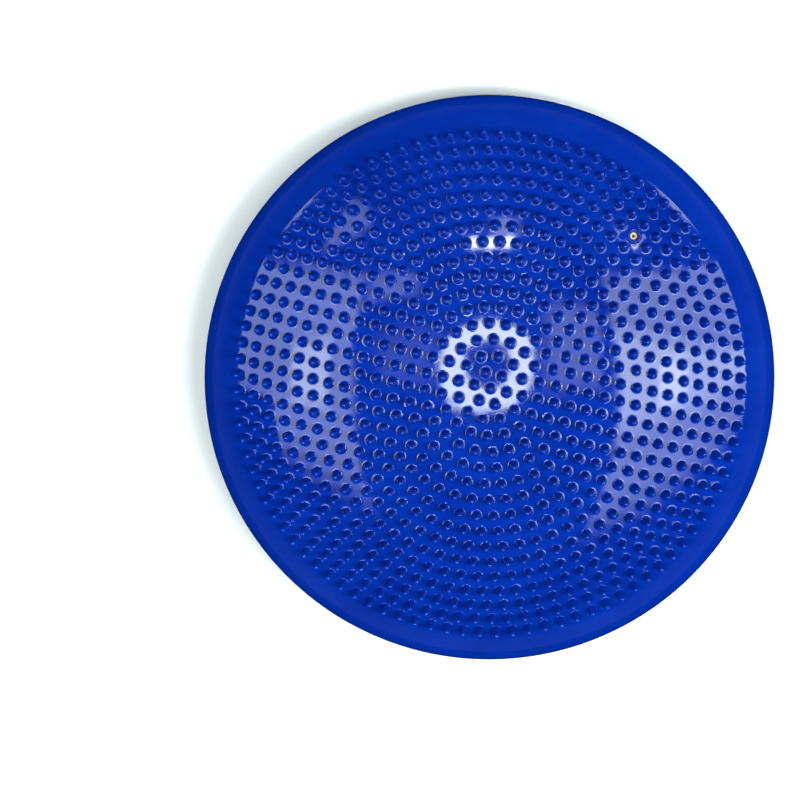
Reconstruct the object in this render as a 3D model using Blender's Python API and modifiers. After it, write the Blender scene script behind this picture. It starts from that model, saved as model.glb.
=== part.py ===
"""Wobble cushion: an air-filled balance disc with a nubbed, domed top and a needle valve.

Metres, +Z up. The origin is the centre of the flat foot, on the floor. The casing is a body of
revolution about Z, made as a top skin, a side wall and a bottom skin, with the valve let into the
top skin in the place of one nub.
"""

import math

import bmesh
import bpy
from mathutils import Matrix, Vector

# Driving dimensions
DIAMETER = 0.330
CROWN_HEIGHT = 0.0674
WALL = 0.0030
CREASE_RADIUS = 0.1495
ROUND_DROP = 0.0112
EDGE_DROP = 0.0082
EDGE_POWER = 6
EQUATOR_HEIGHT = 0.029
FOOT_RADIUS = 0.060
UNDERSIDE_RADIUS = 0.150
UNDERSIDE_RISE = 0.008
UNDERSIDE_POWER = 1.8
UNDERSIDE_FACET_RADII = (0.128, 0.104, 0.082)
SIDE_WALL_TOP = 0.043
SIDE_WALL_BOTTOM = 0.017
PIECE_GAP = 0.0003

# Handles of the side's two curves
CREASE_LEAVING = math.radians(38)
UNDERSIDE_ARRIVING = math.radians(34)
CORNER_REACH = 0.008
UPPER_HANDLE_HEIGHT = 0.038
LOWER_HANDLE_HEIGHT = 0.020

NUB_RINGS = 16
NUBS_PER_RING_STEP = 6
NUB_PITCH = 0.00942
EDGE_CLOSING = 0.0453
EDGE_CLOSING_POWER = 3.2
NUB_HEIGHT = 0.0080
NUB_BASE_RADIUS = 0.0036
NUB_ROOT = 0.0010
NUB_SIDES = 4

VALVE_RING = 13
VALVE_ANGLE = math.radians(46.5)
VALVE_CLEARANCE = 0.0004
CORE_RADIUS = 0.0023
CORE_RECESS = 0.0030
CORE_CHAMFER = 0.0004
CORE_FLANGE_RADIUS = 0.0048
CORE_FLANGE_THICKNESS = 0.0015
NEEDLE_HOLE_RADIUS = 0.0007
NEEDLE_FUNNEL_RADIUS = 0.0010
BOSS_RADIUS = 0.0050
BOSS_TOP_RADIUS = 0.0041
BOSS_HEIGHT = 0.0012
HOUSING_RADIUS = 0.0075
HOUSING_END_RADIUS = 0.0064
HOUSING_LENGTH = 0.0085
HOUSING_CHAMFER = 0.0007
HOUSING_FLANGE_RADIUS = 0.0110
HOUSING_FLANGE_THICKNESS = 0.0020
HALF_DRILL = 0.010

CASING_STEPS = 48
SMALL_STEPS = 20
DOME_FACET_RINGS = (5, 9, 12, 14)
SIDE_FACETS = 3
HALVINGS = 40

OUTER_RADIUS = DIAMETER / 2
VALVE_BORE = CORE_RADIUS + PIECE_GAP
HOUSING_TOP = -WALL - PIECE_GAP - VALVE_CLEARANCE
HOUSING_BOTTOM = HOUSING_TOP - HOUSING_LENGTH
COLLECTION_NAME = "wobble_cushion"


# The casing's outline

def dome_height(radius):
    """An almost spherical dome that falls away faster towards its edge."""
    reach = radius / CREASE_RADIUS
    return CROWN_HEIGHT - ROUND_DROP * reach**2 - EDGE_DROP * reach**EDGE_POWER


def dome_slope(radius):
    """Angle between the dome and the horizontal."""
    reach = radius / CREASE_RADIUS
    fall = 2 * ROUND_DROP * reach + EDGE_POWER * EDGE_DROP * reach ** (EDGE_POWER - 1)
    return math.atan(fall / CREASE_RADIUS)


def underside_height(radius):
    reach = max(radius - FOOT_RADIUS, 0.0) / (UNDERSIDE_RADIUS - FOOT_RADIUS)
    return UNDERSIDE_RISE * reach**UNDERSIDE_POWER


def bezier(start, start_handle, end_handle, end, t):
    s = 1 - t
    return tuple(
        s**3 * a + 3 * s**2 * t * b + 3 * s * t**2 * c + t**3 * d
        for a, b, c, d in zip(start, start_handle, end_handle, end)
    )


def upper_side(t):
    """Point on the round side, from the crease (t = 0) to the equator (t = 1)."""
    crease = (CREASE_RADIUS, dome_height(CREASE_RADIUS))
    first = (
        crease[0] + CORNER_REACH * math.cos(CREASE_LEAVING),
        crease[1] - CORNER_REACH * math.sin(CREASE_LEAVING),
    )
    last = (OUTER_RADIUS, UPPER_HANDLE_HEIGHT)
    return bezier(crease, first, last, (OUTER_RADIUS, EQUATOR_HEIGHT), t)


def lower_side(t):
    """Point on the round side, from the equator (t = 0) to the underside's edge (t = 1)."""
    edge = (UNDERSIDE_RADIUS, UNDERSIDE_RISE)
    first = (OUTER_RADIUS, LOWER_HANDLE_HEIGHT)
    last = (
        edge[0] + CORNER_REACH * math.cos(UNDERSIDE_ARRIVING),
        edge[1] + CORNER_REACH * math.sin(UNDERSIDE_ARRIVING),
    )
    return bezier((OUTER_RADIUS, EQUATOR_HEIGHT), first, last, edge, t)


def side_parameter(side, height):
    """The t at which a side curve, which only goes down, passes this height."""
    low, high = 0.0, 1.0
    for _ in range(HALVINGS):
        middle = (low + high) / 2
        if side(middle)[1] > height:
            low = middle
        else:
            high = middle
    return (low + high) / 2


def stretch(side, start, end, count):
    return [side(start + (end - start) * i / count) for i in range(count + 1)]


def inset(outline, depth):
    """The outline moved inwards by the wall thickness; the ends that are cut stay level."""
    moved = []
    for i, (radius, height) in enumerate(outline):
        before = outline[max(i - 1, 0)]
        after = outline[min(i + 1, len(outline) - 1)]
        along = Vector((after[0] - before[0], after[1] - before[1])).normalized()
        if radius == 0:
            moved.append((0, height - math.copysign(depth, along.x)))
        elif i in (0, len(outline) - 1):
            moved.append((radius + depth / along.y, height))
        else:
            moved.append((radius + along.y * depth, height - along.x * depth))
    return moved


def ring_radius(ring):
    """Radius of a ring of nubs at the skin; the rings close up a little towards the edge."""
    return NUB_PITCH * ring * (1 - EDGE_CLOSING * (ring / NUB_RINGS) ** EDGE_CLOSING_POWER)


# Building objects

def clear_scene():
    for item in list(bpy.data.objects):
        bpy.data.objects.remove(item, do_unlink=True)


def new_collection(name):
    collection = bpy.data.collections.new(name)
    bpy.context.scene.collection.children.link(collection)
    return collection


def new_material(name, colour, roughness):
    material = bpy.data.materials.new(name)
    material.use_nodes = True
    shader = material.node_tree.nodes["Principled BSDF"]
    shader.inputs["Base Color"].default_value = (*colour, 1)
    shader.inputs["Roughness"].default_value = roughness
    shader.inputs["Metallic"].default_value = 0
    return material


def new_object(name, mesh, collection, material=None):
    item = bpy.data.objects.new(name, mesh)
    collection.objects.link(item)
    if material:
        mesh.materials.append(material)
    return item


def turned(name, profile, steps, collection, material=None):
    """Revolves a profile about Z: down its outer side and back up its inner side."""
    mesh = bpy.data.meshes.new(name)
    edges = [(i, i + 1) for i in range(len(profile) - 1)]
    if profile[0][0] > 0 or profile[-1][0] > 0:
        edges.append((len(profile) - 1, 0))
    mesh.from_pydata([(radius, 0, height) for radius, height in profile], edges, [])
    item = new_object(name, mesh, collection, material)
    screw = item.modifiers.new("turn", "SCREW")
    screw.angle = math.tau
    screw.steps = steps
    screw.render_steps = steps
    screw.use_merge_vertices = True
    screw.merge_threshold = 0.00001
    return item


def boolean(item, operand, operation):
    modifier = item.modifiers.new(operation.lower(), "BOOLEAN")
    modifier.operation = operation
    modifier.object = operand
    operand.hide_render = True
    operand.display_type = "WIRE"


def on_dome(radius, angle, sink=0.0):
    """A frame on the dome whose Z is the dome's normal, lowered into the skin by sink."""
    normal_tilt = Matrix.Rotation(dome_slope(radius), 4, "Y")
    turn = Matrix.Rotation(angle, 4, "Z")
    place = Matrix.Translation((radius, 0, dome_height(radius)))
    return turn @ place @ normal_tilt @ Matrix.Translation((0, 0, -sink))


# The parts

def make_nubs(collection):
    """All the nubs but the one that the valve replaces, as pointed four-sided pegs."""
    mesh = bmesh.new()
    full_height = NUB_HEIGHT + NUB_ROOT
    for ring in range(NUB_RINGS + 1):
        count = max(NUBS_PER_RING_STEP * ring, 1)
        for i in range(count):
            if (ring, i) == (VALVE_RING, 0):
                continue
            seat = on_dome(ring_radius(ring), VALVE_ANGLE + math.tau * i / count, NUB_ROOT)
            bmesh.ops.create_cone(
                mesh,
                cap_ends=True,
                segments=NUB_SIDES,
                radius1=NUB_BASE_RADIUS * full_height / NUB_HEIGHT,
                radius2=0,
                depth=full_height,
                matrix=seat @ Matrix.Translation((0, 0, full_height / 2)),
            )
    data = bpy.data.meshes.new("nubs")
    mesh.to_mesh(data)
    mesh.free()
    return new_object("nubs", data, collection)


def make_top_skin(collection, helpers, material):
    lower_edge = side_parameter(upper_side, SIDE_WALL_TOP + PIECE_GAP)
    circles = [(ring_radius(k) + ring_radius(k + 1)) / 2 for k in DOME_FACET_RINGS]
    dome = [(radius, dome_height(radius)) for radius in [0, *circles, CREASE_RADIUS]]
    outside = dome + stretch(upper_side, 0, lower_edge, SIDE_FACETS)[1:]
    inside = inset(outside, WALL)
    skin = turned("top_skin", outside + inside[::-1], CASING_STEPS, collection, material)
    boolean(skin, make_nubs(helpers), "UNION")
    seat = on_dome(ring_radius(VALVE_RING), VALVE_ANGLE)
    boss_bottom = -WALL / 2
    boss_profile = [
        (0, BOSS_HEIGHT),
        (BOSS_TOP_RADIUS, BOSS_HEIGHT),
        (BOSS_RADIUS, boss_bottom),
        (0, boss_bottom),
    ]
    boss = turned("valve_boss", boss_profile, SMALL_STEPS, helpers)
    boss.matrix_world = seat
    boolean(skin, boss, "UNION")
    drill_profile = [
        (0, HALF_DRILL),
        (VALVE_BORE, HALF_DRILL),
        (VALVE_BORE, -HALF_DRILL),
        (0, -HALF_DRILL),
    ]
    drill = turned("valve_drill", drill_profile, SMALL_STEPS, helpers)
    drill.matrix_world = seat
    boolean(skin, drill, "DIFFERENCE")
    return skin


def make_side_wall(collection, material):
    upper_start = side_parameter(upper_side, SIDE_WALL_TOP)
    lower_end = side_parameter(lower_side, SIDE_WALL_BOTTOM)
    outside = stretch(upper_side, upper_start, 1, SIDE_FACETS)
    outside += stretch(lower_side, 0, lower_end, SIDE_FACETS)[1:]
    inside = inset(outside, WALL)
    return turned("side_wall", outside + inside[::-1], CASING_STEPS, collection, material)


def make_bottom_skin(collection, material):
    upper_edge = side_parameter(lower_side, SIDE_WALL_BOTTOM - PIECE_GAP)
    slope_radii = [UNDERSIDE_RADIUS, *UNDERSIDE_FACET_RADII, FOOT_RADIUS]
    underside = [(radius, underside_height(radius)) for radius in slope_radii] + [(0, 0)]
    outside = stretch(lower_side, upper_edge, 1, SIDE_FACETS)[:-1] + underside
    inside = inset(outside, WALL)
    return turned("bottom_skin", outside + inside[::-1], CASING_STEPS, collection, material)


def make_valve_housing(collection, material):
    """A flanged socket under the top skin, round the valve core and open below."""
    flange_bottom = HOUSING_TOP - HOUSING_FLANGE_THICKNESS
    profile = [
        (VALVE_BORE, HOUSING_TOP),
        (HOUSING_FLANGE_RADIUS, HOUSING_TOP - HOUSING_CHAMFER),
        (HOUSING_FLANGE_RADIUS, flange_bottom),
        (HOUSING_RADIUS, flange_bottom - HOUSING_CHAMFER),
        (HOUSING_END_RADIUS, HOUSING_BOTTOM),
        (VALVE_BORE, HOUSING_BOTTOM),
    ]
    housing = turned("valve_housing", profile, SMALL_STEPS, collection, material)
    housing.matrix_world = on_dome(ring_radius(VALVE_RING), VALVE_ANGLE)
    return housing


def make_valve_core(collection, material):
    """A rubber plug with a retaining flange at its inner end and a hole for the needle."""
    top = BOSS_HEIGHT - CORE_RECESS
    flange_top = HOUSING_BOTTOM - VALVE_CLEARANCE
    bottom = flange_top - CORE_FLANGE_THICKNESS
    profile = [
        (NEEDLE_HOLE_RADIUS, top - CORE_CHAMFER),
        (NEEDLE_FUNNEL_RADIUS, top),
        (CORE_RADIUS - CORE_CHAMFER, top),
        (CORE_RADIUS, top - CORE_CHAMFER),
        (CORE_RADIUS, flange_top),
        (CORE_FLANGE_RADIUS, flange_top),
        (CORE_FLANGE_RADIUS, bottom + CORE_CHAMFER),
        (CORE_FLANGE_RADIUS - CORE_CHAMFER, bottom),
        (NEEDLE_HOLE_RADIUS, bottom),
    ]
    core = turned("valve_core", profile, SMALL_STEPS, collection, material)
    core.matrix_world = on_dome(ring_radius(VALVE_RING), VALVE_ANGLE)
    return core


def main():
    clear_scene()
    parts = new_collection(COLLECTION_NAME)
    helpers = new_collection("cutters")
    casing_blue = new_material("casing_blue", (0.006, 0.030, 0.330), 0.28)
    housing_blue = new_material("housing_blue", (0.010, 0.035, 0.250), 0.45)
    core_cream = new_material("core_cream", (0.720, 0.640, 0.420), 0.55)
    make_top_skin(parts, helpers, casing_blue)
    make_side_wall(parts, casing_blue)
    make_bottom_skin(parts, casing_blue)
    make_valve_housing(parts, housing_blue)
    make_valve_core(parts, core_cream)


main()
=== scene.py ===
"""The looks of the wobble cushion: a skin of soft blue PVC with nubs on top, low dots below, and a
cream rubber needle valve. The sizes repeat the CAD part's own, in metres, +Z up."""

import math
import random

import bpy
from mathutils import Matrix, Vector, noise
from mathutils.geometry import delaunay_2d_cdt


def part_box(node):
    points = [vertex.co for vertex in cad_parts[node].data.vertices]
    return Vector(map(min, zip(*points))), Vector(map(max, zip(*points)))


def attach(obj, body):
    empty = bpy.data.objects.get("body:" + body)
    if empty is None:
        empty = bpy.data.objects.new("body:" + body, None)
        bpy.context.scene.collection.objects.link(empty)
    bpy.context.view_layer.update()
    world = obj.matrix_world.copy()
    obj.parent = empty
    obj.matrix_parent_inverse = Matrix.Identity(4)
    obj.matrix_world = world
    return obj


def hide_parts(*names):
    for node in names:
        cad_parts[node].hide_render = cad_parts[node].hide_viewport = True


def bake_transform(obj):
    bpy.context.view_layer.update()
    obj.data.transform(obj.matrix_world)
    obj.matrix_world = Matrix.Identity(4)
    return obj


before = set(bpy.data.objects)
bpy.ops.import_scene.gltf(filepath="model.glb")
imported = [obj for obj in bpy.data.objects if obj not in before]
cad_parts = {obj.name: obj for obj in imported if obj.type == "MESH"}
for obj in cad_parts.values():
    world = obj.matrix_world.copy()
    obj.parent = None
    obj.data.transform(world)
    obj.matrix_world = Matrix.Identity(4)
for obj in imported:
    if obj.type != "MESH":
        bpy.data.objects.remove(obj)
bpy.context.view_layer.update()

# The casing, from the CAD part
NUB_HEIGHT = 0.0080
OUTER_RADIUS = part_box("side_wall")[1].x
CROWN_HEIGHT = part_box("top_skin")[1].z - NUB_HEIGHT
WALL = 0.0030
CREASE_RADIUS = 0.1495
ROUND_DROP = 0.0112
EDGE_DROP = 0.0082
EDGE_POWER = 6
EQUATOR_HEIGHT = 0.029
FOOT_RADIUS = 0.060
UNDERSIDE_RADIUS = 0.150
UNDERSIDE_RISE = 0.008
UNDERSIDE_POWER = 1.8
CREASE_LEAVING = math.radians(38)
UNDERSIDE_ARRIVING = math.radians(34)
CORNER_REACH = 0.008
UPPER_HANDLE_HEIGHT = 0.038
LOWER_HANDLE_HEIGHT = 0.020

# The nubs and the valve's place among them, from the CAD part
NUB_RINGS = 16
NUBS_PER_RING_STEP = 6
NUB_PITCH = 0.00942
EDGE_CLOSING = 0.0453
EDGE_CLOSING_POWER = 3.2
VALVE_RING = 13
VALVE_ANGLE = math.radians(46.5)

# The nubs' form
NUB_SEGMENTS = 12
NUB_BORDER = 0.0040
NUB_FOOT = 0.0031
NUB_RADIUS = 0.0027
NUB_SHOULDER_RADIUS = 0.0017
NUB_SHOULDER_HEIGHT = 0.0063
NUB_LEAN = math.radians(1.0)
NUB_HEIGHT_SPREAD = 0.012
NUB_FILLET_ANGLES = (42, 84)
NUB_TIP_ANGLES = (0, 32, 62)
NUB_SEED = 16

# The underside's dots
DOT_SEGMENTS = 12
DOT_BORDER = 0.0030
DOT_RADIUS = 0.0026
DOT_HEIGHT = 0.0010
DOT_ANGLES = (25, 60)

# The rest of the skin
RIM_SEGMENTS = 288
DOME_EDGE = 0.1485
CREASE_END = 0.20
CREASE_STEPS = 6
SIDE_END = 0.97
UPPER_SIDE_STEPS = 14
LOWER_SIDE_STEPS = 16
INNER_SIDE_STEPS = 8
INNER_MARGIN = 2 * WALL
UNDERSIDE_EDGE = 0.1495
SEAM_HEIGHT = 0.00025
SEAM_WIDTH = 0.0006
WAVE_HEIGHT = 0.00007
WAVE_LENGTH = 0.030
CASING_SHARP_ANGLE = math.radians(70)
CORE_SHARP_ANGLE = math.radians(50)

# The valve
VALVE_SEGMENTS = 32
VALVE_BORDER = 0.0046
CORE_RADIUS = 0.0022
CORE_BORE = 0.0025
CORE_TOP = -0.0018
CORE_FLANGE_RADIUS = 0.0048
CORE_FLANGE_TOP = -0.0126
CORE_FLANGE_THICKNESS = 0.0015
BORE_CLEARANCE = 0.008

# (radius, height above the skin) down from the boss's edge into the bore
VALVE_MOUTH = [
    (0.00450, 0.00002),
    (0.00435, 0.00012),
    (0.00420, 0.00040),
    (0.00405, 0.00075),
    (0.00380, 0.00100),
    (0.00350, 0.00108),
    (0.00315, 0.00098),
    (0.00290, 0.00075),
    (0.00270, 0.00035),
    (0.00258, -0.00020),
    (CORE_BORE, -0.00090),
    (CORE_BORE, -WALL),
]

# (radius, height above the skin) up the needle's hole, over the core's face and down to its flange
CORE_PROFILE = [
    (0.00070, -0.0110),
    (0.00075, -0.0050),
    (0.00080, CORE_TOP - 0.0012),
    (0.00088, CORE_TOP - 0.0004),
    (0.00100, CORE_TOP - 0.0001),
    (0.00120, CORE_TOP),
    (0.00180, CORE_TOP),
    (0.00210, CORE_TOP - 0.0001),
    (CORE_RADIUS, CORE_TOP - 0.0003),
    (CORE_RADIUS, CORE_FLANGE_TOP + 0.0003),
    (CORE_RADIUS + 0.0003, CORE_FLANGE_TOP),
    (CORE_FLANGE_RADIUS - 0.0003, CORE_FLANGE_TOP),
    (CORE_FLANGE_RADIUS, CORE_FLANGE_TOP - 0.0003),
    (CORE_FLANGE_RADIUS, CORE_FLANGE_TOP - CORE_FLANGE_THICKNESS + 0.0004),
    (CORE_FLANGE_RADIUS - 0.0004, CORE_FLANGE_TOP - CORE_FLANGE_THICKNESS),
]

# Colours, and sizes of the patches in them
BLUE_DEEP = (0.0003, 0.0145, 0.215)
BLUE_LIGHT = (0.0010, 0.0225, 0.275)
BLUE_ROUGHNESS = 0.03
HOUSING_DEEP = (0.004, 0.022, 0.18)
HOUSING_LIGHT = (0.006, 0.03, 0.22)
HOUSING_ROUGHNESS = 0.4
# Painted highlight on the nubs: how much paler their upper parts are painted, and the most of that
# paleness that is mixed in.
TIP_HIGHLIGHT_LIGHTENING = 1.5
TIP_HIGHLIGHT_SHARE = 0.35
PVC_SPECULAR = 0.25
CLOUD_SIZE = 0.035
SPECK_SIZE = 0.0015
GLOSS_SIZE = 0.012
GRAIN_SIZE = 0.0009
GRAIN_DEPTH = 0.0000025
RUBBER_CLEAN = (0.56, 0.45, 0.33, 1)
RUBBER_DIRTY = (0.36, 0.22, 0.15, 1)
DIRT_SIZE = 0.0012
RUBBER_GRAIN_SIZE = 0.0003
RUBBER_GRAIN_DEPTH = 0.00001
FLOOR_DEEP = (0.82, 0.82, 0.82, 1)
FLOOR_LIGHT = (0.86, 0.86, 0.86, 1)
FLOOR_CLOUD_SIZE = 0.4

# The camera
CAMERA_DISTANCE = 3.5
CAMERA_TILT = math.radians(8.0)
CAMERA_LENS = 271.6
CAMERA_AIM = (-0.0519, -0.0122)

# The floor
FLOOR_RADIUS = 20.0
FLOOR_SEGMENTS = 96
FLOOR_DROP = 0.0002


# The casing's outline, as the CAD part has it

def dome_height(radius):
    """An almost spherical dome that falls away faster towards its edge."""
    reach = radius / CREASE_RADIUS
    return CROWN_HEIGHT - ROUND_DROP * reach**2 - EDGE_DROP * reach**EDGE_POWER


def dome_slope(radius):
    """Angle between the dome and the horizontal."""
    reach = radius / CREASE_RADIUS
    fall = 2 * ROUND_DROP * reach + EDGE_POWER * EDGE_DROP * reach ** (EDGE_POWER - 1)
    return math.atan(fall / CREASE_RADIUS)


def underside_height(radius):
    reach = max(radius - FOOT_RADIUS, 0.0) / (UNDERSIDE_RADIUS - FOOT_RADIUS)
    return UNDERSIDE_RISE * reach**UNDERSIDE_POWER + DOT_HEIGHT


def underside_slope(radius):
    step = 0.0001
    rise = underside_height(radius + step) - underside_height(radius - step)
    return math.atan(rise / (2 * step))


def bezier(start, start_handle, end_handle, end, t):
    s = 1 - t
    return tuple(
        s**3 * a + 3 * s**2 * t * b + 3 * s * t**2 * c + t**3 * d
        for a, b, c, d in zip(start, start_handle, end_handle, end)
    )


def upper_side(t):
    """Point on the round side, from the crease (t = 0) to the equator (t = 1)."""
    crease = (CREASE_RADIUS, dome_height(CREASE_RADIUS))
    first = (
        crease[0] + CORNER_REACH * math.cos(CREASE_LEAVING),
        crease[1] - CORNER_REACH * math.sin(CREASE_LEAVING),
    )
    last = (OUTER_RADIUS, UPPER_HANDLE_HEIGHT)
    return bezier(crease, first, last, (OUTER_RADIUS, EQUATOR_HEIGHT), t)


def lower_side(t):
    """Point on the round side, from the equator (t = 0) to the underside's edge (t = 1)."""
    edge = (UNDERSIDE_RADIUS, underside_height(UNDERSIDE_RADIUS))
    first = (OUTER_RADIUS, LOWER_HANDLE_HEIGHT)
    last = (
        edge[0] + CORNER_REACH * math.cos(UNDERSIDE_ARRIVING),
        edge[1] + CORNER_REACH * math.sin(UNDERSIDE_ARRIVING),
    )
    return bezier((OUTER_RADIUS, EQUATOR_HEIGHT), first, last, edge, t)


def corner(start, middle, end, count):
    """A rounded corner's inner points: a quadratic curve from start to end by way of middle."""
    points = []
    for i in range(1, count):
        t = i / count
        points.append(
            tuple(
                (1 - t) ** 2 * a + 2 * (1 - t) * t * b + t**2 * c
                for a, b, c in zip(start, middle, end)
            )
        )
    return points


def inset(outline, depth):
    """The outline moved inwards by the wall thickness; the end at the equator stays level."""
    moved = []
    for i, (radius, height) in enumerate(outline):
        before = outline[max(i - 1, 0)]
        after = outline[min(i + 1, len(outline) - 1)]
        along = Vector((after[0] - before[0], after[1] - before[1])).normalized()
        if height == EQUATOR_HEIGHT:
            moved.append((OUTER_RADIUS - depth, height))
        else:
            moved.append((radius + along.y * depth, height - along.x * depth))
    return moved


def ring_radius(ring):
    """Radius of a ring of nubs at the skin; the rings close up a little towards the edge."""
    return NUB_PITCH * ring * (1 - EDGE_CLOSING * (ring / NUB_RINGS) ** EDGE_CLOSING_POWER)


def places():
    """(ring, number in the ring, radius, angle) of each place in the pattern of rings."""
    for ring in range(NUB_RINGS + 1):
        count = max(NUBS_PER_RING_STEP * ring, 1)
        for i in range(count):
            yield ring, i, ring_radius(ring), VALVE_ANGLE + math.tau * i / count


# Mesh building

class Skin:
    """Points and faces of one moulded piece, and each point's share of the way to a nub's tip."""

    def __init__(self):
        self.points = []
        self.tips = []
        self.faces = []

    def loop(self, points, tip=0.0):
        start = len(self.points)
        self.points.extend(Vector(point) for point in points)
        self.tips.extend([tip] * len(points))
        return list(range(start, len(self.points)))

    def bridge(self, outer, inner):
        """A band between two loops of equal length, facing up where outer is the wider."""
        for i in range(len(outer)):
            j = (i + 1) % len(outer)
            self.faces.append((outer[i], outer[j], inner[j], inner[i]))

    def fan(self, loop, middle, tip=0.0):
        (centre,) = self.loop([middle], tip)
        for i in range(len(loop)):
            self.faces.append((loop[i], loop[(i + 1) % len(loop)], centre))

    def fill(self, rim, holes, between=(), facing_up=True):
        """Triangles inside the rim and outside the holes, by way of the points in between."""
        loops = [rim, *holes]
        members = [index for loop in loops for index in loop] + list(between)
        order = {index: place for place, index in enumerate(members)}
        edges = [
            (order[a], order[b]) for loop in loops for a, b in zip(loop, loop[1:] + loop[:1])
        ]
        hole_of = {index: number for number, hole in enumerate(holes) for index in hole}
        flat = [self.points[index].to_2d() for index in members]
        found = delaunay_2d_cdt(flat, edges, [], 0, 1e-8)
        sources = [members[same[0]] for same in found[3]]
        for face in found[2]:
            corners = [sources[place] for place in face]
            owners = {hole_of.get(index, -1) for index in corners}
            if len(owners) == 1 and -1 not in owners:
                continue
            a, b, c = (self.points[index].to_2d() for index in corners)
            if ((b - a).cross(c - a) > 0) != facing_up:
                corners.reverse()
            self.faces.append(tuple(corners))

    def build(self, name, material, sharp_angle):
        mesh = bpy.data.meshes.new(name)
        mesh.from_pydata(self.points, [], self.faces)
        mesh.polygons.foreach_set("use_smooth", [True] * len(mesh.polygons))
        mesh.set_sharp_from_angle(angle=sharp_angle)
        mesh.attributes.new("tip", "FLOAT", "POINT").data.foreach_set("value", self.tips)
        mesh.materials.append(material)
        mesh.validate()
        item = bpy.data.objects.new(name, mesh)
        bpy.context.scene.collection.objects.link(item)
        return item


def circle(radius, height, count, seat=Matrix()):
    return [
        seat @ Vector(
            (
                radius * math.cos(math.tau * i / count),
                radius * math.sin(math.tau * i / count),
                height,
            )
        )
        for i in range(count)
    ]


def wave(x, y):
    """The slow unevenness that a moulded, air-filled skin has."""
    return WAVE_HEIGHT * noise.noise(Vector((x / WAVE_LENGTH, y / WAVE_LENGTH, 0.5)))


def on_dome(point):
    """The point moved up or down on to the dome."""
    height = dome_height(math.hypot(point.x, point.y)) + wave(point.x, point.y)
    return Vector((point.x, point.y, height))


def on_underside(point):
    height = underside_height(math.hypot(point.x, point.y)) - wave(point.x, point.y)
    return Vector((point.x, point.y, height))


def dome_seat(radius, angle):
    """A frame on the dome whose Z is the dome's normal."""
    turn = Matrix.Rotation(angle, 4, "Z")
    foot = on_dome(turn @ Vector((radius, 0, 0)))
    return Matrix.Translation(foot) @ turn @ Matrix.Rotation(dome_slope(radius), 4, "Y")


def underside_seat(radius, angle):
    """A frame on the underside whose Z points down, out of the skin."""
    turn = Matrix.Rotation(angle, 4, "Z")
    foot = on_underside(turn @ Vector((radius, 0, 0)))
    tilt = Matrix.Rotation(math.pi - underside_slope(radius), 4, "Y")
    return Matrix.Translation(foot) @ turn @ tilt


# The pieces

def nub_profile():
    """(radius, height) up a nub: a fillet, a slightly tapering body and a rounded tip."""
    fillet = NUB_FOOT - NUB_RADIUS
    profile = []
    for angle in NUB_FILLET_ANGLES:
        turn = math.radians(angle)
        profile.append((NUB_FOOT - fillet * math.sin(turn), fillet * (1 - math.cos(turn))))
    tip_height = NUB_HEIGHT - NUB_SHOULDER_HEIGHT
    for angle in NUB_TIP_ANGLES:
        turn = math.radians(angle)
        radius = NUB_SHOULDER_RADIUS * math.cos(turn)
        profile.append((radius, NUB_SHOULDER_HEIGHT + tip_height * math.sin(turn)))
    return profile


def add_nub(skin, radius, angle, draw):
    """One nub on the dome; returns the loop on the skin round it."""
    seat = dome_seat(radius, angle)
    border = skin.loop([on_dome(p) for p in circle(NUB_BORDER, 0, NUB_SEGMENTS, seat)])
    foot = skin.loop([on_dome(p) for p in circle(NUB_FOOT, 0, NUB_SEGMENTS, seat)])
    skin.bridge(border, foot)
    lean = Matrix.Rotation(draw.gauss(0, NUB_LEAN), 4, "X") @ Matrix.Rotation(
        draw.gauss(0, NUB_LEAN), 4, "Y"
    )
    stretch = Matrix.Diagonal((1, 1, 1 - abs(draw.gauss(0, NUB_HEIGHT_SPREAD)), 1))
    leaning = seat @ lean @ stretch
    below = foot
    for radius_here, height in nub_profile():
        share = height / NUB_HEIGHT
        above = skin.loop(circle(radius_here, height, NUB_SEGMENTS, leaning), share)
        skin.bridge(below, above)
        below = above
    skin.fan(below, leaning @ Vector((0, 0, NUB_HEIGHT)), 1.0)
    return border


def add_valve_mouth(skin):
    """A low round-edged boss and the bore through the skin, in which the core sits."""
    seat = dome_seat(ring_radius(VALVE_RING), VALVE_ANGLE)
    border = skin.loop([on_dome(p) for p in circle(VALVE_BORDER, 0, VALVE_SEGMENTS, seat)])
    outer = border
    for radius, height in VALVE_MOUTH:
        inner = skin.loop(circle(radius, height, VALVE_SEGMENTS, seat))
        skin.bridge(outer, inner)
        outer = inner
    return border, outer


def add_turns(skin, first, outline):
    """Bands that carry on from a loop along an outline turned about Z; returns the last loop."""
    inner = first
    for radius, height in outline:
        outer = skin.loop(circle(radius, height, RIM_SEGMENTS))
        skin.bridge(outer, inner)
        inner = outer
    return inner


def inside_points(skin, radius_limit, surface, clear_of=None):
    """A grid of points for the smooth inner side of the skin."""
    points = []
    for ring in range(1, NUB_RINGS - 1):
        for point in circle(ring_radius(ring), 0, NUBS_PER_RING_STEP * ring):
            if clear_of is None or (point.to_2d() - clear_of).length > BORE_CLEARANCE:
                points.append(surface(point))
    return skin.loop([point for point in points if point.to_2d().length < radius_limit])


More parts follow.
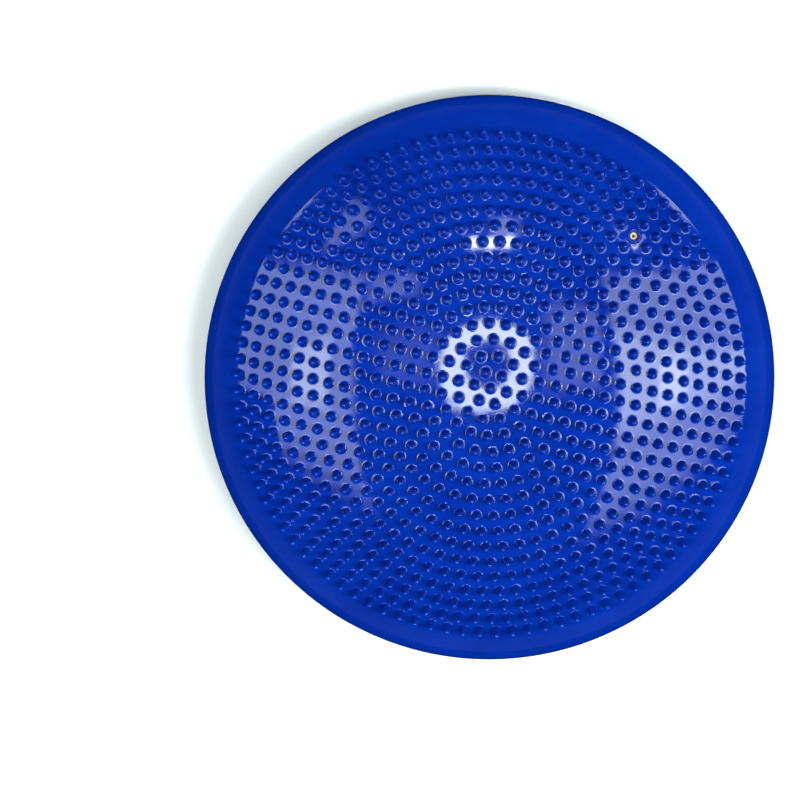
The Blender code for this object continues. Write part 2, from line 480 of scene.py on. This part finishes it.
def casing_top(material):
    """The upper half of the casing, from the crown to the mould line at the equator."""
    skin = Skin()
    draw = random.Random(NUB_SEED)
    mouth, bore = add_valve_mouth(skin)
    holes = [mouth]
    for ring, i, radius, angle in places():
        if (ring, i) != (VALVE_RING, 0):
            holes.append(add_nub(skin, radius, angle, draw))
    edge = skin.loop([on_dome(p) for p in circle(DOME_EDGE, 0, RIM_SEGMENTS)])
    skin.fill(edge, holes)
    dome_end = (DOME_EDGE, dome_height(DOME_EDGE))
    crease = (CREASE_RADIUS, dome_height(CREASE_RADIUS))
    side_start = upper_side(CREASE_END)
    outline = corner(dome_end, crease, side_start, CREASE_STEPS)
    side_reach = SIDE_END - CREASE_END
    outline += [
        upper_side(CREASE_END + side_reach * i / UPPER_SIDE_STEPS)
        for i in range(UPPER_SIDE_STEPS + 1)
    ]
    outline += [
        (OUTER_RADIUS + SEAM_HEIGHT, EQUATOR_HEIGHT + SEAM_WIDTH / 2),
        (OUTER_RADIUS + SEAM_HEIGHT, EQUATOR_HEIGHT),
    ]
    below_crease = range(2, INNER_SIDE_STEPS + 1)
    smooth = [dome_end, crease, *(upper_side(i / INNER_SIDE_STEPS) for i in below_crease)]
    inner_outline = inset(smooth, WALL)[::-1]
    inner_edge = add_turns(skin, edge, outline + inner_outline)

    def ceiling(point):
        radius = math.hypot(point.x, point.y)
        drop = WALL / math.cos(dome_slope(radius))
        return Vector((point.x, point.y, dome_height(radius) - drop))

    bore_place = sum((skin.points[i] for i in bore), Vector()) / len(bore)
    grid = inside_points(skin, DOME_EDGE - INNER_MARGIN, ceiling, bore_place.to_2d())
    skin.fill(inner_edge, [bore], grid, facing_up=False)
    return skin.build("casing_top", material, CASING_SHARP_ANGLE)


def add_dot(skin, radius, angle):
    """One low dot under the cushion; returns the loop on the skin round it."""
    seat = underside_seat(radius, angle)
    border = skin.loop([on_underside(p) for p in circle(DOT_BORDER, 0, DOT_SEGMENTS, seat)])
    below = border
    for turn in map(math.radians, DOT_ANGLES):
        width = DOT_RADIUS * math.cos(turn)
        above = skin.loop(circle(width, DOT_HEIGHT * math.sin(turn), DOT_SEGMENTS, seat))
        skin.bridge(below, above)
        below = above
    skin.fan(below, seat @ Vector((0, 0, DOT_HEIGHT)))
    return border


def casing_bottom(material):
    """The lower half of the casing, from the mould line to the foot."""
    skin = Skin()
    holes = [add_dot(skin, radius, angle) for _, _, radius, angle in places()]
    edge = skin.loop([on_underside(p) for p in circle(UNDERSIDE_EDGE, 0, RIM_SEGMENTS)])
    skin.fill(edge, holes, facing_up=False)
    outline = [lower_side(1 - i / LOWER_SIDE_STEPS) for i in range(1, LOWER_SIDE_STEPS)]
    outline += [
        (OUTER_RADIUS + SEAM_HEIGHT, EQUATOR_HEIGHT - SEAM_WIDTH / 2),
        (OUTER_RADIUS + SEAM_HEIGHT, EQUATOR_HEIGHT),
    ]
    smooth = [lower_side(i / INNER_SIDE_STEPS) for i in range(INNER_SIDE_STEPS)]
    smooth.append((UNDERSIDE_EDGE, underside_height(UNDERSIDE_EDGE)))
    inner_outline = inset(smooth, WALL)
    last = edge
    for radius, height in outline + inner_outline:
        loop = skin.loop(circle(radius, height, RIM_SEGMENTS))
        skin.bridge(last, loop)
        last = loop

    def cavity_floor(point):
        radius = math.hypot(point.x, point.y)
        rise = WALL / math.cos(underside_slope(radius))
        return Vector((point.x, point.y, underside_height(radius) + rise))

    grid = inside_points(skin, UNDERSIDE_EDGE - INNER_MARGIN, cavity_floor)
    skin.fill(last, [], grid)
    return skin.build("casing_bottom", material, CASING_SHARP_ANGLE)


def valve_core(material):
    """A rubber plug under the lip, with a rounded dimple and the needle's hole down its middle."""
    skin = Skin()
    seat = dome_seat(ring_radius(VALVE_RING), VALVE_ANGLE)
    first = skin.loop(circle(*CORE_PROFILE[0], VALVE_SEGMENTS, seat))
    skin.fan(first, seat @ Vector((0, 0, CORE_PROFILE[0][1])))
    inner = first
    for radius, height in CORE_PROFILE[1:]:
        outer = skin.loop(circle(radius, height, VALVE_SEGMENTS, seat))
        skin.bridge(outer, inner)
        inner = outer
    skin.fan(inner[::-1], seat @ Vector((0, 0, CORE_PROFILE[-1][1])))
    return skin.build("valve_core_rubber", material, CORE_SHARP_ANGLE)


# Materials

class Nodes:
    """Adds nodes to one node tree and links them, keeping to sockets by name or number."""

    def __init__(self, tree):
        self.tree = tree

    def add(self, kind, **values):
        node = self.tree.nodes.new(kind)
        for name, value in values.items():
            setattr(node, name, value)
        return node

    def put(self, socket, value):
        if isinstance(value, bpy.types.NodeSocket):
            self.tree.links.new(value, socket)
        else:
            socket.default_value = value

    def math(self, operation, *values):
        node = self.add("ShaderNodeMath", operation=operation)
        for socket, value in zip(node.inputs, values):
            self.put(socket, value)
        return node.outputs[0]

    def remap(self, value, low, high, to_low=0.0, to_high=1.0, smooth=False):
        node = self.add("ShaderNodeMapRange")
        node.interpolation_type = "SMOOTHSTEP" if smooth else "LINEAR"
        for name, number in zip(
            ("Value", "From Min", "From Max", "To Min", "To Max"),
            (value, low, high, to_low, to_high),
        ):
            self.put(node.inputs[name], number)
        return node.outputs[0]

    def noise(self, where, size, detail=2.0, roughness=0.5):
        """Noise whose blobs are about this many metres across."""
        node = self.add("ShaderNodeTexNoise")
        self.put(node.inputs["Vector"], where)
        self.put(node.inputs["Scale"], 1 / size)
        self.put(node.inputs["Detail"], detail)
        self.put(node.inputs["Roughness"], roughness)
        return node.outputs[0]

    def mix(self, share, low, high):
        node = self.add("ShaderNodeMix", data_type="RGBA")
        # A mix node's colour inputs come after its number and vector ones.
        for number, value in zip((0, 6, 7), (share, low, high)):
            self.put(node.inputs[number], value)
        return node.outputs[2]

    def bump(self, height, depth, strength=1.0):
        """A bump whose full height is this depth in metres."""
        node = self.add("ShaderNodeBump")
        self.put(node.inputs["Height"], height)
        self.put(node.inputs["Distance"], depth)
        self.put(node.inputs["Strength"], strength)
        return node.outputs[0]


def new_material(name):
    material = bpy.data.materials.new(name)
    material.use_nodes = True
    nodes = Nodes(material.node_tree)
    shader = material.node_tree.nodes["Principled BSDF"]
    place = nodes.add("ShaderNodeTexCoord").outputs["Object"]
    return material, nodes, shader, place


def pvc(name, deep, light, roughness, tips=False):
    """Moulded soft PVC: cloudy colour, patchy gloss, a fine grain, and paler nub tips that are a
    painted highlight.
    """
    material, nodes, shader, place = new_material(name)
    clouds = nodes.noise(place, CLOUD_SIZE, 3.0, 0.55)
    specks = nodes.noise(place, SPECK_SIZE, 2.0, 0.6)
    share = nodes.math("MULTIPLY_ADD", clouds, 0.8, nodes.math("MULTIPLY", specks, 0.2))
    colour = nodes.mix(nodes.remap(share, 0.3, 0.7), (*deep, 1), (*light, 1))
    if tips:
        # Painted highlight: the upper part of each nub is mixed towards a paler blue.
        tip = nodes.add("ShaderNodeAttribute", attribute_name="tip").outputs["Fac"]
        painted_tip_highlight = nodes.remap(tip, 0.55, 1.0, 0.0, TIP_HIGHLIGHT_SHARE)
        tip_highlight_colour = [channel * TIP_HIGHLIGHT_LIGHTENING for channel in light]
        colour = nodes.mix(painted_tip_highlight, colour, (*tip_highlight_colour, 1))
    nodes.put(shader.inputs["Base Color"], colour)
    gloss = nodes.noise(place, GLOSS_SIZE, 4.0, 0.6)
    patchy = nodes.remap(gloss, 0.3, 0.7, roughness * 0.8, roughness * 1.3)
    nodes.put(shader.inputs["Roughness"], patchy)
    grain = nodes.noise(place, GRAIN_SIZE, 2.0, 0.6)
    nodes.put(shader.inputs["Normal"], nodes.bump(grain, GRAIN_DEPTH))
    shader.inputs["Specular IOR Level"].default_value = PVC_SPECULAR
    return material


def rubber(name):
    """The core's pale rubber, a little dirty in patches."""
    material, nodes, shader, place = new_material(name)
    dirt = nodes.remap(nodes.noise(place, DIRT_SIZE, 4.0, 0.65), 0.45, 0.75)
    colour = nodes.mix(dirt, RUBBER_CLEAN, RUBBER_DIRTY)
    nodes.put(shader.inputs["Base Color"], colour)
    nodes.put(shader.inputs["Roughness"], nodes.remap(dirt, 0.0, 1.0, 0.45, 0.65))
    grain = nodes.noise(place, RUBBER_GRAIN_SIZE, 3.0)
    nodes.put(shader.inputs["Normal"], nodes.bump(grain, RUBBER_GRAIN_DEPTH))
    return material


def pale_floor(name):
    material, nodes, shader, place = new_material(name)
    clouds = nodes.noise(place, FLOOR_CLOUD_SIZE, 3.0)
    colour = nodes.mix(clouds, FLOOR_DEEP, FLOOR_LIGHT)
    nodes.put(shader.inputs["Base Color"], colour)
    shader.inputs["Roughness"].default_value = 0.9
    shader.inputs["Specular IOR Level"].default_value = 0.1
    return material


# The studio

def soft_box(nodes, across, along, sides, ends, rise, soft, radiance):
    """Light from a soft-edged patch of the sky, in slopes away from straight up.

    The patch lies between two sides and two ends; its far end rises towards one side.
    """
    side_soft, near_soft, far_soft = soft
    level = nodes.math("SUBTRACT", along, nodes.math("MULTIPLY", across, rise))
    edges = [
        nodes.remap(across, sides[0] - side_soft, sides[0] + side_soft, smooth=True),
        nodes.remap(across, sides[1] - side_soft, sides[1] + side_soft, 1.0, 0.0, smooth=True),
        nodes.remap(along, ends[0] - near_soft, ends[0] + near_soft, smooth=True),
        nodes.remap(level, ends[1] - far_soft, ends[1] + far_soft, 1.0, 0.0, smooth=True),
    ]
    for edge in edges:
        radiance = nodes.math("MULTIPLY", edge, radiance)
    return radiance


def ring_lamp(nodes, across, along, middle, radius, width, radiance):
    offsets = [nodes.math("SUBTRACT", v, c) for v, c in zip((across, along), middle)]
    squares = [nodes.math("MULTIPLY", offset, offset) for offset in offsets]
    distance = nodes.math("SQRT", nodes.math("ADD", *squares))
    off = nodes.math("ABSOLUTE", nodes.math("SUBTRACT", distance, radius))
    lit = nodes.remap(off, width * RING_FULL_SHARE, width, 1.0, 0.0, smooth=True)
    return nodes.math("MULTIPLY", lit, radiance)


SOFT_BOXES = [
    # sides, ends, rise of the far end, softness of the sides and ends, radiance
    ((0.205, 1.40), (-0.41, -0.040), 0.39, (0.010, 0.10, 0.02), 8.5),
    ((0.215, 1.40), (-0.21, -0.055), 0.0, (0.010, 0.05, 0.03), 11.0),
    ((0.325, 0.475), (-0.19, -0.09), 0.0, (0.015, 0.02, 0.02), 12.0),
    ((-0.580, -0.196), (-0.33, -0.030), -0.40, (0.010, 0.09, 0.03), 8.0),
    ((-0.445, -0.265), (-0.185, -0.055), 0.0, (0.020, 0.03, 0.03), 13.0),
    ((-1.120, -0.580), (-0.19, -0.030), -0.40, (0.010, 0.02, 0.03), 7.5),
    ((-0.022, 0.050), (0.077, 0.109), 0.0, (0.006, 0.006, 0.006), 58.0),
    ((0.018, 0.056), (0.110, 0.168), 0.0, (0.010, 0.010, 0.010), 9.0),
    ((0.092, 0.176), (-0.140, -0.020), 0.0, (0.012, 0.02, 0.02), 5.0),
    ((-0.140, -0.060), (-0.130, -0.060), 0.0, (0.020, 0.02, 0.02), 2.0),
    ((-0.180, -0.090), (-0.005, 0.000), -0.30, (0.015, 0.01, 0.01), 5.0),
    ((0.300, 0.370), (0.170, -0.080), 1.00, (0.010, 0.015, 0.02), 8.0),
    ((-0.420, -0.270), (0.210, -0.030), -1.10, (0.020, 0.03, 0.03), 5.0),
    ((0.84, 1.08), (0.58, 0.82), 0.0, (0.06, 0.06, 0.06), 11.0),
    ((-1.08, -0.84), (0.58, 0.82), 0.0, (0.06, 0.06, 0.06), 8.0),
]
# middle, radius, half width, radiance
RING_LAMP = ((0.0125, -0.110), 0.048, 0.020, 36.0)
RING_FULL_SHARE = 0.6
LOWEST_SKY = 0.05
HORIZON_BAND = (0.1, 0.35)
SKY_RADIANCE = 0.03
HORIZON_RADIANCE = 0.20
DARK_BELOW = (-0.12, -0.02)
LIGHT_COLOUR = (0.90, 1.0, 0.96, 1)


def make_studio():
    world = bpy.data.worlds.new("studio")
    bpy.context.scene.world = world
    world.use_nodes = True
    nodes = Nodes(world.node_tree)
    direction = nodes.add("ShaderNodeTexCoord").outputs["Generated"]
    split = nodes.add("ShaderNodeSeparateXYZ")
    nodes.put(split.inputs[0], direction)
    x, y, z = split.outputs
    height = nodes.math("MAXIMUM", z, LOWEST_SKY)
    across = nodes.math("DIVIDE", x, height)
    along = nodes.math("DIVIDE", y, height)
    total = nodes.remap(z, *HORIZON_BAND, HORIZON_RADIANCE, SKY_RADIANCE, smooth=True)
    total = nodes.math("MULTIPLY", total, nodes.remap(z, *DARK_BELOW, smooth=True))
    for box in SOFT_BOXES:
        total = nodes.math("ADD", total, soft_box(nodes, across, along, *box))
    total = nodes.math("ADD", total, ring_lamp(nodes, across, along, *RING_LAMP))
    background = world.node_tree.nodes["Background"]
    background.inputs["Color"].default_value = LIGHT_COLOUR
    nodes.put(background.inputs["Strength"], total)


def make_floor(material):
    skin = Skin()
    skin.fan(skin.loop(circle(FLOOR_RADIUS, 0, FLOOR_SEGMENTS)), Vector((0, 0, 0)))
    floor = skin.build("floor", material, math.pi)
    floor.location.z = -FLOOR_DROP
    floor.visible_glossy = False


def make_camera():
    """Looks down on the cushion from a little beyond its far side, as the photograph does."""
    camera = bpy.data.objects.new("camera", bpy.data.cameras.new("camera"))
    bpy.context.scene.collection.objects.link(camera)
    camera.data.lens = CAMERA_LENS
    camera.data.clip_end = 50
    tilt = Matrix.Rotation(-CAMERA_TILT, 4, "X")
    target = Vector((0, 0, EQUATOR_HEIGHT)) + tilt @ Vector((*CAMERA_AIM, 0))
    camera.matrix_world = (
        Matrix.Translation(target) @ tilt @ Matrix.Translation((0, 0, CAMERA_DISTANCE))
    )
    bpy.context.scene.camera = camera


def main():
    bpy.context.scene.view_settings.view_transform = "Standard"
    blue = pvc("casing_blue_pvc", BLUE_DEEP, BLUE_LIGHT, BLUE_ROUGHNESS, tips=True)
    top = casing_top(blue)
    bottom = casing_bottom(blue)
    core = valve_core(rubber("core_cream_rubber"))
    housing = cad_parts["valve_housing"]
    housing.data.materials.clear()
    housing_blue = pvc("housing_blue_pvc", HOUSING_DEEP, HOUSING_LIGHT, HOUSING_ROUGHNESS)
    housing.data.materials.append(housing_blue)

    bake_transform(top)
    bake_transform(bottom)
    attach(core, "top")
    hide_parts("top_skin", "side_wall")
    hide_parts("bottom_skin")
    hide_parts("valve_core")

    make_floor(pale_floor("floor_pale"))
    make_studio()
    make_camera()


main()
